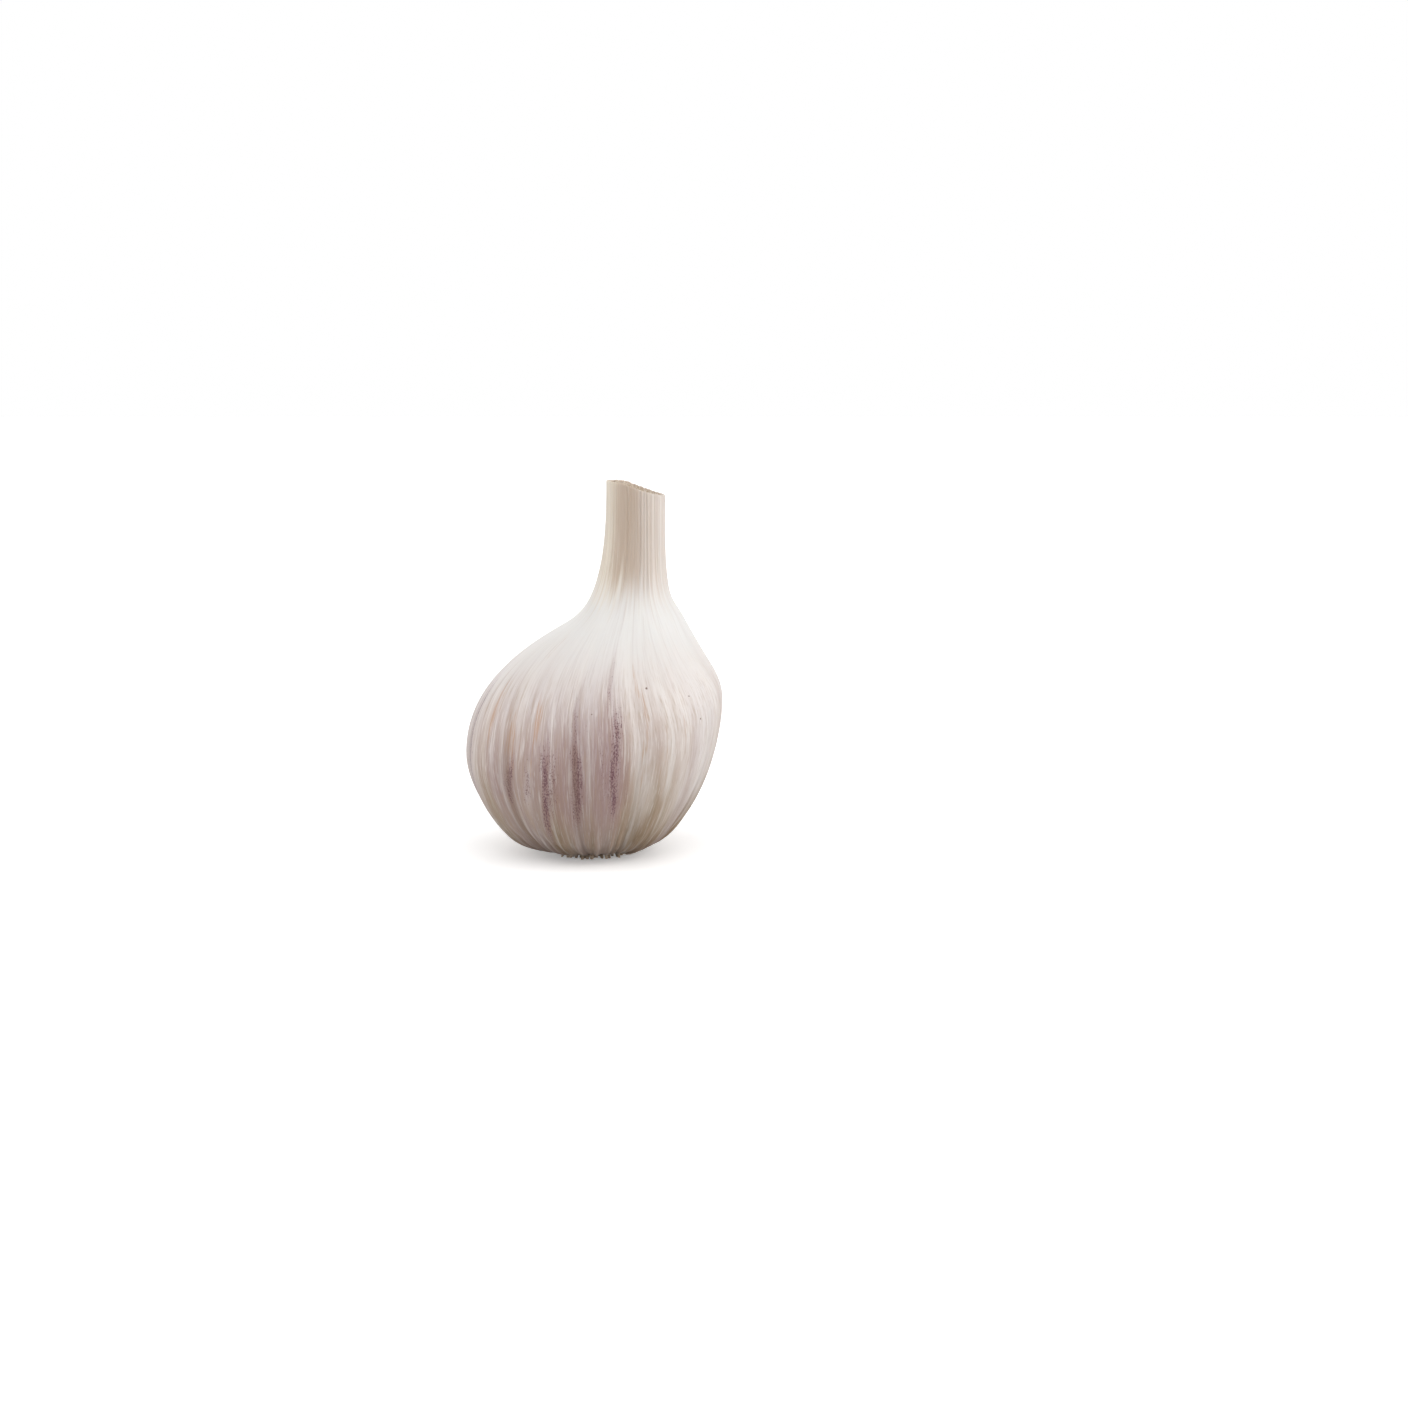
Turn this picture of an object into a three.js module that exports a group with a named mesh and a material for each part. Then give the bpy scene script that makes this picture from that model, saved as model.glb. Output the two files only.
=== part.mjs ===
// Garlic bulb, dried and trimmed: the body with its papery neck and root plate, grown as one piece.
// Millimetres, +Z up. The origin is the middle of the root plate, on the surface the bulb stands on.
// The neck stands off-centre towards +X, so the -X side is the full one and the +X side the steep one.
// Bearings go round the bulb in degrees: 0 is the front (-Y), and 90 is the steep side (+X).

import * as THREE from "three";
import { mergeVertices } from "three/addons/utils/BufferGeometryUtils.js";

// Root plate: the flat spot that the bulb stands on, a little proud of the cloves around it.
const plateRadius = 9;
const plateTaper = 0.6; // how much narrower the plate is at its foot
const plateStandOut = 1.2;

// Neck: the dried leaf bases, cut across at a slant that is highest on the full side.
const neckRadius = 5.8;
const neckOffset = 8.6;
const neckTop = 75.3;
const cutDrop = 2.6;

// The body's and neck's outline on each side. Reach is the farthest that the side swells out from the
// origin. At the throat the shoulder turns from swelling to hollow: its flare is measured outwards from
// the neck's side, and its slope from the level. The neck's side is straight for a way below the cut.
// Each pair under cheek, shoulder and hollow holds the curve's handles at its lower and upper end, as
// shares of the stretch that the curve spans.
const fullSide = {
  reach: 26.2,
  widestHeight: 20.5,
  throatFlare: 7.8,
  throatHeight: 47.2,
  throatSlopeDeg: 31.5,
  straightBelowCut: 5.3,
  cheek: [0.61, 0.38],
  shoulder: [0.58, 0.19],
  hollow: [0.16, 0.7],
};
const steepSide = {
  reach: 25.9,
  widestHeight: 31,
  throatFlare: 3.6,
  throatHeight: 48.3,
  throatSlopeDeg: 65.5,
  straightBelowCut: 9.7,
  cheek: [0.5, 0.35],
  shoulder: [0.34, 0.5],
  hollow: [0.26, 0.85],
};
const depthShare = 0.97; // front to back, the body is a little thinner than it is wide

// Cloves: they swell under the skin between creases, and share out the way round the bulb.
const firstCreaseDeg = -41;
const cloveShares = [35, 33, 44, 38, 42, 45, 39, 46, 38];
const creaseDepth = 0.7;
const creaseRise = 0.5; // under 1, the creases are deepest low down, near the root plate
const cloveFlatness = 2.5; // 2 is a round clove, and more is a flatter one with a narrower crease

// How finely the surface is divided.
const segmentsAround = 72;
const stepsPerCurve = 12;

// One side's outline, as distance outwards and height, from the plate's middle to the neck's cut edge.
function outlineOf(side, neckSide, cutHeight) {
  const throat = new THREE.Vector2(neckSide + side.throatFlare, side.throatHeight);
  const widest = new THREE.Vector2(side.reach, side.widestHeight);
  const neckFoot = new THREE.Vector2(neckSide, cutHeight - side.straightBelowCut);
  const slope = THREE.MathUtils.degToRad(side.throatSlopeDeg);
  const upTheThroat = new THREE.Vector2(-Math.cos(slope), Math.sin(slope));
  const shoulderEnd = throat
    .clone()
    .addScaledVector(upTheThroat, -side.shoulder[1] * throat.distanceTo(widest));
  const hollowStart = throat
    .clone()
    .addScaledVector(upTheThroat, side.hollow[0] * throat.distanceTo(neckFoot));

  const outline = new THREE.Path();
  outline.moveTo(0, 0);
  outline.lineTo(plateRadius - plateTaper, 0);
  outline.lineTo(plateRadius, plateStandOut);
  outline.bezierCurveTo(
    plateRadius + side.cheek[0] * (widest.x - plateRadius),
    plateStandOut,
    widest.x,
    widest.y - side.cheek[1] * (widest.y - plateStandOut),
    widest.x,
    widest.y,
  );
  outline.bezierCurveTo(
    widest.x,
    widest.y + side.shoulder[0] * (throat.y - widest.y),
    shoulderEnd.x,
    shoulderEnd.y,
    throat.x,
    throat.y,
  );
  outline.bezierCurveTo(
    hollowStart.x,
    hollowStart.y,
    neckFoot.x,
    neckFoot.y - side.hollow[1] * (neckFoot.y - throat.y),
    neckFoot.x,
    neckFoot.y,
  );
  outline.lineTo(neckSide, cutHeight);
  return outline.getPoints(stepsPerCurve);
}

// How far the clove under this bearing swells: 1 over its middle and 0 at its creases.
function swellAt(bearingDeg) {
  const degreesPerShare = 360 / cloveShares.reduce((sum, share) => sum + share, 0);
  let past = THREE.MathUtils.euclideanModulo(bearingDeg - firstCreaseDeg, 360);
  for (const share of cloveShares) {
    const width = share * degreesPerShare;
    if (past < width) return 1 - Math.pow(Math.abs((2 * past) / width - 1), cloveFlatness);
    past -= width;
  }
  return 0;
}

// How deep a crease runs at a height: it starts at the root plate's rim and fades out by the throat.
function creaseAt(height) {
  const throatHeight = Math.min(fullSide.throatHeight, steepSide.throatHeight);
  const share = (height - plateStandOut) / (throatHeight - plateStandOut);
  return creaseDepth * Math.sin(Math.PI * Math.pow(THREE.MathUtils.clamp(share, 0, 1), creaseRise));
}

// The skin: a lathed form whose rings are then hung between the two outlines.
function skinGeometry() {
  const full = outlineOf(fullSide, neckRadius - neckOffset, neckTop);
  const steep = outlineOf(steepSide, neckRadius + neckOffset, neckTop - cutDrop);
  const rings = full.map((point, ring) => ({
    middle: new THREE.Vector3((steep[ring].x - point.x) / 2, 0, (steep[ring].y + point.y) / 2),
    toSteep: new THREE.Vector3((steep[ring].x + point.x) / 2, 0, (steep[ring].y - point.y) / 2),
  }));
  // The neck's cut face closes to its middle.
  rings.push({ middle: rings.at(-1).middle, toSteep: new THREE.Vector3() });

  const profile = rings.map(({ middle, toSteep }) => new THREE.Vector2(toSteep.x, middle.z));
  const skin = new THREE.LatheGeometry(profile, segmentsAround);
  const places = skin.getAttribute("position");
  for (let segment = 0; segment <= segmentsAround; segment++) {
    const bearingDeg = (360 * segment) / segmentsAround;
    const bearing = THREE.MathUtils.degToRad(bearingDeg % 360);
    rings.forEach(({ middle, toSteep }, ring) => {
      const outwards = toSteep.clone().multiplyScalar(Math.sin(bearing));
      outwards.y = -depthShare * toSteep.x * Math.cos(bearing);
      const crease = (1 - swellAt(bearingDeg)) * creaseAt(middle.z);
      if (toSteep.x > 0) outwards.multiplyScalar(1 - crease / toSteep.x);
      const place = middle.clone().add(outwards);
      places.setXYZ(segment * rings.length + ring, place.x, place.y, place.z);
    });
  }
  skin.deleteAttribute("normal");
  skin.deleteAttribute("uv");
  const closed = mergeVertices(skin);
  closed.computeVertexNormals();
  return closed;
}

const driedSkin = new THREE.MeshStandardMaterial({ color: 0xe4ddd2, roughness: 0.5, metalness: 0 });

const garlicBulb = new THREE.Mesh(skinGeometry(), driedSkin);
garlicBulb.name = "garlic_bulb";

const bulb = new THREE.Group();
bulb.add(garlicBulb);

export default bulb;
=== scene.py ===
import math
from types import SimpleNamespace

import bmesh
import bpy
import numpy as np
from mathutils import Matrix, Vector
from mathutils.geometry import interpolate_bezier


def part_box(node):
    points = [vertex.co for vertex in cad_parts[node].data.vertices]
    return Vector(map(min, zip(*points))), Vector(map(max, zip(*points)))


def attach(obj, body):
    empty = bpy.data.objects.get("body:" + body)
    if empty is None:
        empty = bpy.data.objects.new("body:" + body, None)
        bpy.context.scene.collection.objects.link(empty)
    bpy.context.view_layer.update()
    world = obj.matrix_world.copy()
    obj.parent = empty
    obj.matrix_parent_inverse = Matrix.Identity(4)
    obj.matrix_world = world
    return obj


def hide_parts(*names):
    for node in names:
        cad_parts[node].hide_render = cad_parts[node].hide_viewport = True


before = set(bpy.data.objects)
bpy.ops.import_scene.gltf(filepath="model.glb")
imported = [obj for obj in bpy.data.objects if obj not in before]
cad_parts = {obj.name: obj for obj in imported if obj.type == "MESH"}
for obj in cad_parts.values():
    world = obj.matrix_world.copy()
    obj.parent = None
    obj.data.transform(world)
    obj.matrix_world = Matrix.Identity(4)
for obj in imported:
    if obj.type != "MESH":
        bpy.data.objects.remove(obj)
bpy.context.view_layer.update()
lowCorner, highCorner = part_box("garlic_bulb")

# The bulb's sizes are in millimetres and its bearings in degrees round the bulb: 0 is the front (-Y)
# and 90 the steep side (+X). scaleUp and scaleOut turn them into the frame's metres.
bulb = {
    "height": 75.3, "width": 51.95,
    "plateRadius": 9, "plateStandOut": 1.2,
    "neckRadius": 5.8, "neckOffset": 8.6, "cutDrop": 2.6,
    "depthShare": 0.97,
    "firstCrease": -41, "cloveShares": (35, 33, 44, 38, 42, 45, 39, 46, 38),
    "creaseDepth": 0.85, "creaseRise": 0.5, "cloveFlatness": 2.5,
}
fullSide = {
    "reach": 26.2, "widest": 20.5, "flare": 7.8, "throat": 47.2, "slope": 31.5, "straight": 5.3,
    "cheek": (0.61, 0.38), "shoulder": (0.58, 0.19), "hollow": (0.16, 0.7),
}
steepSide = {
    "reach": 25.9, "widest": 31, "flare": 3.6, "throat": 48.3, "slope": 65.5, "straight": 9.7,
    "cheek": (0.5, 0.35), "shoulder": (0.34, 0.5), "hollow": (0.26, 0.85),
}
scaleUp = (highCorner.z - lowCorner.z) / bulb["height"]
scaleOut = (highCorner.x - lowCorner.x) / bulb["width"]


# Camera: a long lens at the height of the neck, looking a little down.
camera = {"place": (0.02225, -0.42, 0.1), "lookAt": (0.02225, 0, 0.0304), "lens": 53.8, "sensor": 36}

eye = bpy.data.objects.new("camera", bpy.data.cameras.new("camera"))
bpy.context.scene.collection.objects.link(eye)
eye.data.lens = camera["lens"]
eye.data.sensor_width = camera["sensor"]
eye.location = camera["place"]
eye.rotation_euler = (Vector(camera["lookAt"]) - Vector(camera["place"])).to_track_quat("-Z", "Y").to_euler()
eye.data.clip_start = 0.01
eye.data.clip_end = 20
bpy.context.scene.camera = eye
print("camera placed")


# Shader sockets as numbers: + - * between them or with plain numbers add Math nodes.
class Wire:
    def __init__(self, finish, socket):
        self.finish = finish
        self.socket = socket

    def calc(self, operation, first, second):
        return self.finish.add("ShaderNodeMath", {"operation": operation}, {0: first, 1: second})

    def __add__(self, other):
        return self.calc("ADD", self, other)

    def __radd__(self, other):
        return self.calc("ADD", other, self)

    def __sub__(self, other):
        return self.calc("SUBTRACT", self, other)

    def __rsub__(self, other):
        return self.calc("SUBTRACT", other, self)

    def __mul__(self, other):
        return self.calc("MULTIPLY", self, other)

    def __rmul__(self, other):
        return self.calc("MULTIPLY", other, self)


# A material and its nodes. add makes any node: its settings are set first, then its sockets.
class Finish:
    def __init__(self, name):
        self.material = bpy.data.materials.new(name)
        self.material.use_nodes = True
        self.tree = self.material.node_tree
        self.tree.nodes.clear()

    def add(self, kind, settings=None, sockets=None, out=0):
        node = self.tree.nodes.new(kind)
        for name, value in (settings or {}).items():
            if name == "stops":
                self.setStops(node.color_ramp, value)
            else:
                setattr(node, name, value)
        for name, value in (sockets or {}).items():
            if isinstance(value, Wire):
                self.tree.links.new(value.socket, node.inputs[name])
            else:
                node.inputs[name].default_value = value
        return Wire(self, node.outputs[out]) if node.outputs else None

    def setStops(self, ramp, stops):
        ramp.elements[0].position, ramp.elements[0].color = stops[0]
        ramp.elements[1].position, ramp.elements[1].color = stops[-1]
        for position, colour in stops[1:-1]:
            ramp.elements.new(position).color = colour

    def ramp(self, value, stops):
        return self.add("ShaderNodeValToRGB", {"stops": stops}, {"Fac": value})

    def attribute(self, name, out="Fac"):
        return self.add("ShaderNodeAttribute", {"attribute_name": name}, out=out)

    def stretch(self, vector, across, along):
        factors = (across, across, along)
        return self.add("ShaderNodeVectorMath", {"operation": "MULTIPLY"}, {0: vector, 1: factors})

    def noise(self, vector, scale, detail, roughness):
        sockets = {"Vector": vector, "Scale": scale, "Detail": detail, "Roughness": roughness}
        return self.add("ShaderNodeTexNoise", None, sockets)

    def fade(self, value, low, high, start=0.0, end=1.0):
        settings = {"interpolation_type": "SMOOTHSTEP", "clamp": True}
        return self.add("ShaderNodeMapRange", settings, {0: value, 1: low, 2: high, 3: start, 4: end})

    def mix(self, factor, first, second):
        settings = {"data_type": "RGBA", "clamp_factor": True}
        return self.add("ShaderNodeMix", settings, {0: factor, 6: first, 7: second}, 2)

    def bump(self, height, distance, strength):
        sockets = {"Height": height, "Distance": distance, "Strength": strength}
        return self.add("ShaderNodeBump", None, sockets)

    # A mask broken up by grains, each with how far it moves the mask.
    def broken(self, mask, *grains):
        for grain, amount in grains:
            mask = mask + (grain - 0.5) * amount
        return mask

    def shade(self, sockets):
        shader = self.add("ShaderNodeBsdfPrincipled", None, sockets)
        self.add("ShaderNodeOutputMaterial", None, {"Surface": shader})
        return self.material


# A colour as a painter's red, green and blue from 0 to 255, made linear for the shader.
def tint(red, green, blue):
    return tuple(((c / 255 + 0.055) / 1.055) ** 2.4 for c in (red, green, blue)) + (1,)


# Waves round the bulb that meet themselves: turns is how many fit round it, rise how many in a millimetre up.
def ripple(seed, waves, turns, rise, bearing, height):
    rng = np.random.default_rng(seed)
    total = np.zeros(np.broadcast(bearing, height).shape)
    for _ in range(waves):
        around = rng.integers(turns[0], turns[1] + 1)
        upwards = rng.uniform(-rise, rise)
        total += np.cos(around * np.radians(bearing) + math.tau * (upwards * height + rng.random()))
    return total / math.sqrt(waves / 2)


def smoothStep(value, low, high):
    share = np.clip((value - low) / (high - low), 0, 1)
    return share * share * (3 - 2 * share)


# How far round the bulb one bearing is from another, from -180 to 180.
def turnFrom(bearing, other):
    return (bearing - other + 180) % 360 - 180


# One side's outline from the root plate's rim to the cut, as rows of distance outwards and height.
def sideOutline(side, neckSide, cutAt, steps):
    slope = math.radians(side["slope"])
    upTheThroat = Vector((-math.cos(slope), math.sin(slope), 0))
    rim = Vector((bulb["plateRadius"], bulb["plateStandOut"], 0))
    widest = Vector((side["reach"], side["widest"], 0))
    throat = Vector((neckSide + side["flare"], side["throat"], 0))
    neckFoot = Vector((neckSide, cutAt - side["straight"], 0))
    cut = Vector((neckSide, cutAt, 0))
    up = Vector((0, 1, 0))
    curves = (
        (rim, rim + Vector((side["cheek"][0] * (widest.x - rim.x), 0, 0)),
         widest - side["cheek"][1] * (widest.y - rim.y) * up, widest, steps["cheek"]),
        (widest, widest + side["shoulder"][0] * (throat.y - widest.y) * up,
         throat - side["shoulder"][1] * (throat - widest).length * upTheThroat, throat, steps["shoulder"]),
        (throat, throat + side["hollow"][0] * (throat - neckFoot).length * upTheThroat,
         neckFoot - side["hollow"][1] * (neckFoot.y - throat.y) * up, neckFoot, steps["hollow"]),
        (neckFoot, neckFoot.lerp(cut, 1 / 3), neckFoot.lerp(cut, 2 / 3), cut, steps["straight"]),
    )
    points = [rim]
    for start, startHandle, endHandle, end, count in curves:
        points += interpolate_bezier(start, startHandle, endHandle, end, count + 1)[1:]
    line = np.array([(p.x, p.y) for p in points])
    for _ in range(steps["smoothing"]):  # eases the curves into each other
        line[1:-1] = (line[:-2] + 2 * line[1:-1] + line[2:]) / 4
    return line


# How far the clove under each bearing swells: 1 over its middle and 0 at its creases.
def cloveSwell(bearing):
    shares = np.array(bulb["cloveShares"]) * 360 / sum(bulb["cloveShares"])
    edges = bulb["firstCrease"] + np.concatenate(([0], np.cumsum(shares)))
    past = edges[0] + (bearing - edges[0]) % 360
    clove = np.clip(np.searchsorted(edges, past, side="right") - 1, 0, len(shares) - 1)
    across = (past - edges[clove]) / shares[clove]
    return 1 - np.abs(2 * across - 1) ** bulb["cloveFlatness"]


# Skin: the whole papery outside of the bulb, from under the root plate up over the neck's cut edge.
skin = {
    "segments": 340,
    "steps": {"cheek": 84, "shoulder": 84, "hollow": 56, "straight": 20, "smoothing": 60},
    # inwards from the neck's outside, and upwards from its cut
    "lip": ((0.12, 0.06), (0.28, 0.05), (0.4, -0.05), (0.42, -0.7), (0.6, -1.3), (2.6, -1.45), (5.8, -1.5)),
    # distance outwards and height, under the root plate
    "underside": ((0, 2.5), (5, 2.4), (7.4, 2.2), (8.4, 1.8)),
    "veins": 64, "veinHeight": 0.06, "veinWidth": 0.8, "veinStrengths": (0.3, 1), "veinWidths": (0.7, 1.5),
    "neckFlutes": 62, "fluteDepth": 0.05,
    "wobble": 0.2,
    "drift": 1.8, "twist": 11, "twistHeights": (24, 50),
    "hemFolds": 0.2, "hemRise": (0.6, 1.6), "hemFade": (3, 9),
    # heights between which each part of the skin sets in or fades out
    "bodyRise": (bulb["plateStandOut"], 6), "bodyFade": (42, 52), "bellyFade": (26, 42), "neckRise": (50, 58),
    # painted shade in the creases, the bearing where there is least of it, and by how much
    "creaseShadeRise": (1, 5), "creaseShadeFade": (18, 40), "shadeFreeBearing": 50, "shadeFree": 0.75,
    "creamBearing": -80,
    "fibresPerRadian": 24,
    "cutFade": (14, 3),  # below the cut, where its unevenness starts and where it is full
}
# Outer leaf sheaths: the bearings and heights that each one spans, how proud it is and how wide its edge.
sheaths = (
    {"from": 12, "to": 200, "low": 46, "high": 90, "proud": 0.07, "edge": 9},
    {"from": 236, "to": 298, "low": 50, "high": 90, "proud": 0.07, "edge": 9},
    {"from": 31, "to": 140, "low": -5, "high": 42, "proud": 0.12, "edge": 2},
)
sheathEdges = {"ragged": 1.2, "fade": 8}  # degrees that they wander, and height over which the ends fade
# Marks on the skin, each with its bearing, lowest and highest point, width across and strength.
# Purple streaks.
streaks = [
    (-6, 9, 27, 2.5, 1.0), (-5, 26, 35, 1.8, 0.6), (-9, 34, 41, 1.6, 0.25), (15.6, 10, 34, 2.2, 0.85),
    (-23.3, 6, 26, 1.8, 0.95), (-18.5, 11, 27, 2.8, 0.65), (-40, 12, 23, 1.9, 1.0), (-36, 6, 13, 0.9, 0.6),
    (-32.3, 14, 22, 1.8, 0.75), (-28.6, 22, 27, 1.6, 0.4), (9.6, 15, 28, 1.5, 0.45), (1.5, 30, 33, 0.7, 0.6),
    (21, 12, 22, 1.4, 0.3), (-66, 14, 28, 2.0, 0.3), (13.5, 31, 42, 1.5, 0.5),
]
# Mauve washes, wide and soft.
washes = [
    (-10, 9, 33, 13, 0.85), (9, 8, 34, 12, 0.9), (20, 8, 29, 7, 0.8), (-25, 10, 28, 8, 0.6),
    (-42, 9, 26, 6, 0.7), (-62, 12, 34, 7, 0.25), (-6, 30, 41, 8, 0.4), (16, 26, 38, 7, 0.6),
    (80, 8, 24, 8, 0.35),
]
# Ochre fibres.
ochres = [
    (-51, 25, 37, 1.8, 1.0), (-39, 21, 33, 2.2, 0.9), (-27, 25, 36, 1.5, 1.0), (-33, 38, 46, 1.2, 0.5),
    (-27, 17, 24, 1.1, 0.7), (-45, 14, 28, 1.2, 0.5), (29, 18, 40, 1.6, 0.7), (47.6, 24, 34, 0.9, 0.6),
    (-57, 18, 32, 1.1, 0.4), (6, 20, 34, 1.2, 0.5), (38, 16, 30, 1.1, 0.5),
]
# Paler strips of skin.
pales = [
    (-30, 12, 23, 2.0, 0.6), (-66, 12, 40, 6.0, 0.6), (40, 14, 40, 3.6, 0.65), (29, 8, 30, 5.0, 0.65),
    (-13, 22, 32, 1.4, 0.35), (2, 26, 40, 2.0, 0.35), (-36, 30, 40, 1.8, 0.35), (48, 8, 38, 6.0, 0.65),
    (66, 12, 42, 11.0, 1.0),
]
# Soft edges of the marks: how far their ends fade, with their width added, up to the longest, how far they
# wander in degrees, and how wide they spread.
markEdges = {"shortest": 3, "longest": 8, "wander": 0.8, "spread": 0.62}
# Brown specks: bearing, height and size across.
specks = (
    (33.5, 36.3, 0.5), (58.7, 25.7, 0.42), (55, 32.9, 0.34), (3.8, 32.3, 0.34), (112, 33, 0.4),
    (171, 29, 0.5), (236, 37, 0.4),
)


def bulbRings():
    full = sideOutline(fullSide, bulb["neckRadius"] - bulb["neckOffset"], bulb["height"], skin["steps"])
    steep = sideOutline(steepSide, bulb["neckRadius"] + bulb["neckOffset"],
                        bulb["height"] - bulb["cutDrop"], skin["steps"])
    below = np.array(skin["underside"], float)
    inwards = np.array(skin["lip"], float)
    fullLip = full[-1] + inwards * (-1, 1)
    steepLip = steep[-1] + inwards * (-1, 1)
    return np.vstack((below, full, fullLip)), np.vstack((below, steep, steepLip))


# The neck's cut is higher than its plain slant at a crown, and lower in a dip towards the steep side.
cutEdge = {
    "crown": 0.5, "crownAt": -0.42, "crownSpread": 0.45,
    "dip": 0.25, "dipFrom": 0.2,
    "ragged": 0.05, "frayed": 0.03,
}


# The height of the cut above its plain slant, by the place across the neck (-1 full side, 1 steep side).
def cutShape(across, bearing):
    crown = cutEdge["crown"] * np.exp(-((across - cutEdge["crownAt"]) / cutEdge["crownSpread"]) ** 2)
    dip = cutEdge["dip"] * smoothStep(across, cutEdge["dipFrom"], 1)
    ragged = cutEdge["ragged"] * ripple(71, 7, (5, 40), 0, bearing, 0)
    frayed = cutEdge["frayed"] * ripple(72, 6, (30, 80), 0, bearing, 0)
    return crown - dip + (ragged + frayed)


# Leaf lines run up the belly at a steady bearing. Above it they go straight up to the neck, which stands
# off the middle, so the ones at the front and the back come to it at another bearing: shift is by how many
# radians. They also twist and wander a little.
def leafLine(bearing, level, shift):
    straightened = bearing + np.degrees(shift) * np.cos(np.radians(bearing))
    twist = skin["twist"] * smoothStep(level, *skin["twistHeights"])
    return straightened + twist + skin["drift"] * ripple(11, 5, (2, 5), 0.012, bearing, level)


# Every ring and segment of the skin as a grid of places, with their heights and bearings, each ring's
# distance along the outline, and its shift of the leaf lines.
def skinGrid():
    full, steep = bulbRings()
    count = skin["segments"]
    bearing = np.arange(count) * 360 / count
    halfWidth = (full[:, 0] + steep[:, 0]) / 2
    middle = (steep[:, 0] - full[:, 0]) / 2
    height = (full[:, 1] + steep[:, 1]) / 2
    tilt = (steep[:, 1] - full[:, 1]) / 2
    sine, cosine = np.sin(np.radians(bearing)), np.cos(np.radians(bearing))
    place = np.stack((
        middle[:, None] + halfWidth[:, None] * sine,
        -bulb["depthShare"] * halfWidth[:, None] * cosine,
        height[:, None] + tilt[:, None] * sine,
    ), axis=2)
    level = place[:, :, 2]
    along = np.cumsum(np.concatenate(([0], np.hypot(*np.diff((full + steep) / 2, axis=0).T))))
    belly = int(np.argmax(halfWidth))
    widthAbove = np.maximum(halfWidth, bulb["neckRadius"])
    width = np.where(np.arange(len(halfWidth)) < belly, halfWidth[belly], widthAbove)
    shift = bulb["neckOffset"] / halfWidth[belly] - (bulb["neckOffset"] - middle) / width
    return place, level, bearing, along, shift


def pushAlongNormals(place, amount):
    around = np.roll(place, -1, axis=1) - np.roll(place, 1, axis=1)
    upwards = np.gradient(place, axis=0)
    normal = np.cross(around, upwards)
    length = np.linalg.norm(normal, axis=2, keepdims=True)
    return place + normal / np.maximum(length, 1e-9) * amount[:, :, None]


def skinRelief(level, bearing, shift):
    bearing = bearing[None, :]
    neck = smoothStep(level, *skin["neckRise"])
    body = smoothStep(level, *skin["bodyRise"]) * (1 - smoothStep(level, *skin["bodyFade"]))
    belly = smoothStep(level, *skin["bodyRise"]) * (1 - smoothStep(level, *skin["bellyFade"]))
    drifted = leafLine(bearing, level, shift[:, None])
    # Cloves under the skin: the creases start at the root plate's rim and fade out by the throat.
    rise = np.clip((level - bulb["plateStandOut"]) / (fullSide["throat"] - bulb["plateStandOut"]), 0, 1)
    crease = bulb["creaseDepth"] * np.sin(math.pi * rise ** bulb["creaseRise"])
    relief = -(1 - cloveSwell(drifted)) * crease
    relief += skin["wobble"] * ripple(12, 9, (3, 9), 0.03, bearing, level) * (body + 0.3 * neck)
    # Veins: thin raised lines that run up with the leaves.
    rng = np.random.default_rng(21)
    for _ in range(skin["veins"]):
        centre = rng.uniform(0, 360)
        strength = rng.uniform(*skin["veinStrengths"])
        width = rng.uniform(*skin["veinWidths"])
        wander = 0.6 * ripple(int(rng.integers(1e6)), 2, (1, 3), 0.03, bearing, level)
        away = turnFrom(drifted + wander, centre)
        comesAndGoes = 0.65 + 0.35 * np.cos(level * rng.uniform(0.08, 0.25) + rng.uniform(0, math.tau))
        ridge = np.exp(-((away / (skin["veinWidth"] * width)) ** 2))
        relief += skin["veinHeight"] * strength * ridge * comesAndGoes * belly
    # Neck: flutes from the dried leaf bases.
    flutes = ripple(31, 10, (skin["neckFlutes"] // 2, skin["neckFlutes"]), 0.006, bearing, level)
    finer = ripple(32, 8, (70, 110), 0.006, bearing, level)
    relief += skin["fluteDepth"] * (0.7 * flutes + 0.3 * finer) * neck
    # Hem: the skins pucker where they meet the root plate.
    hemShade = smoothStep(level, *skin["hemRise"]) * (1 - smoothStep(level, *skin["hemFade"]))
    relief += skin["hemFolds"] * ripple(41, 8, (22, 60), 0.02, bearing, level) * hemShade
    return relief


def sheathRelief(level, bearing):
    bearing = bearing[None, :]
    relief = np.zeros(np.broadcast(bearing, level).shape)
    for number, sheath in enumerate(sheaths):
        ragged = sheathEdges["ragged"] * ripple(50 + number, 5, (1, 4), 0.05, bearing, level)
        past = (bearing + ragged - sheath["from"]) % 360
        width = sheath["to"] - sheath["from"]
        inside = smoothStep(past, 0, sheath["edge"]) * (1 - smoothStep(past, width, width + sheath["edge"]))
        low = smoothStep(level, sheath["low"], sheath["low"] + sheathEdges["fade"])
        high = 1 - smoothStep(level, sheath["high"] - sheathEdges["fade"], sheath["high"])
        relief += sheath["proud"] * inside * low * high
    return relief


def markMask(level, drifted, marks, seed):
    mask = np.zeros(level.shape)
    for number, (centre, low, high, width, strength) in enumerate(marks):
        ends = min(markEdges["shortest"] + width, markEdges["longest"])
        wavy = markEdges["wander"] * ripple(seed + number, 3, (0, 0), 0.06, 0.0, level)
        away = turnFrom(drifted + wavy, centre) * math.radians(1) * fullSide["reach"]
        rise = smoothStep(level, low - ends, low + ends) * (1 - smoothStep(level, high - ends, high + ends))
        shape = np.exp(-((away / (markEdges["spread"] * width)) ** 2))
        mask = np.maximum(mask, strength * shape * rise)
    return mask


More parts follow.
